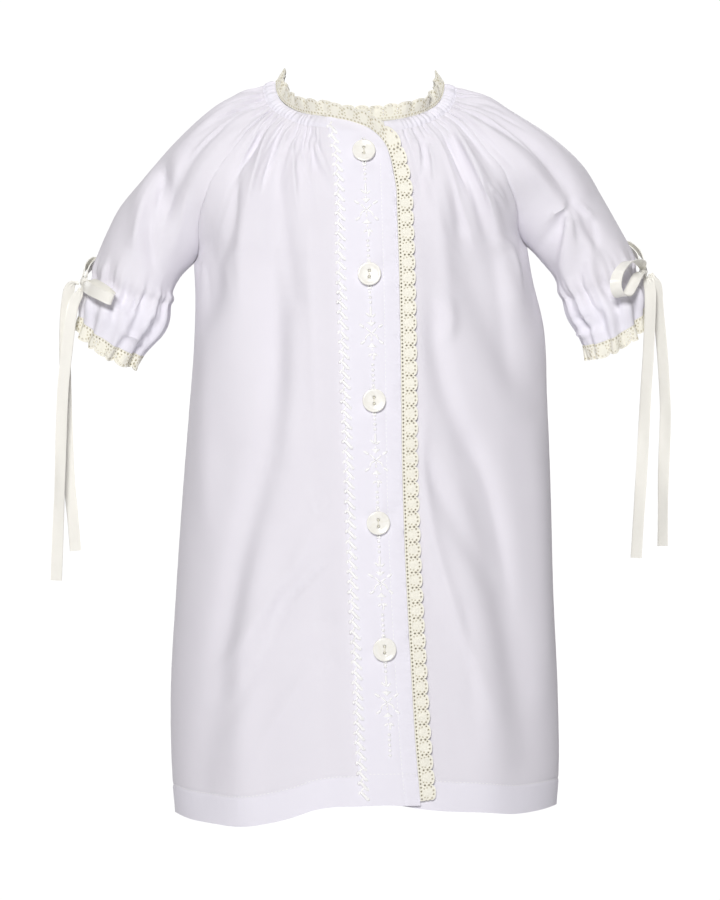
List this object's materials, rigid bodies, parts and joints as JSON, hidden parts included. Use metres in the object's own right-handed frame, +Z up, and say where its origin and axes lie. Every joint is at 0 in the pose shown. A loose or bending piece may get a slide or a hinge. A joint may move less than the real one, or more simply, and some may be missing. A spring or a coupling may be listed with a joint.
{
  "type": "baby daygown, filled out with no wearer",
  "caption": "White cotton baby daygown with raglan sleeves, gathered neck, buttoned lapped front, eyelet lace edges and ribbon-tied cuffs, open and hollow as worn",
  "frame": {"origin": "the middle of the neck opening at the height of its sides, where the wearer's shoulders carry the gown", "axes": "+Z up, -Y the gown's front, +X the wearer's left, which is the viewer's right"},
  "size_m": [0.381, 0.1589, 0.4603],
  "materials": {
    "batiste": "fine plain-weave white cotton batiste with a soft sheen",
    "lace": "cream cotton eyelet lace with a scalloped edge",
    "satin": "cream double-faced satin ribbon",
    "shell": "polished cream shell, two holes"
  },
  "bodies": {
    "root": {"front_right": "batiste", "front_left": "batiste", "back": "batiste", "sleeve_right": "batiste", "sleeve_left": "batiste", "band_upper": "batiste", "band_lower": "batiste", "neck_casing": "batiste", "lace_neck": "lace", "lace_front": "lace", "lace_cuff_right": "lace", "lace_cuff_left": "lace", "button_1": "shell", "button_2": "shell", "button_3": "shell", "button_4": "shell", "button_5": "shell", "bow_knot_right": "satin", "bow_loop_front_right": "satin", "bow_loop_back_right": "satin", "ribbon_tail_front_right": "satin", "ribbon_tail_back_right": "satin", "bow_knot_left": "satin", "bow_loop_front_left": "satin", "bow_loop_back_left": "satin", "ribbon_tail_front_left": "satin", "ribbon_tail_back_left": "satin"}
  },
  "joints": []
}
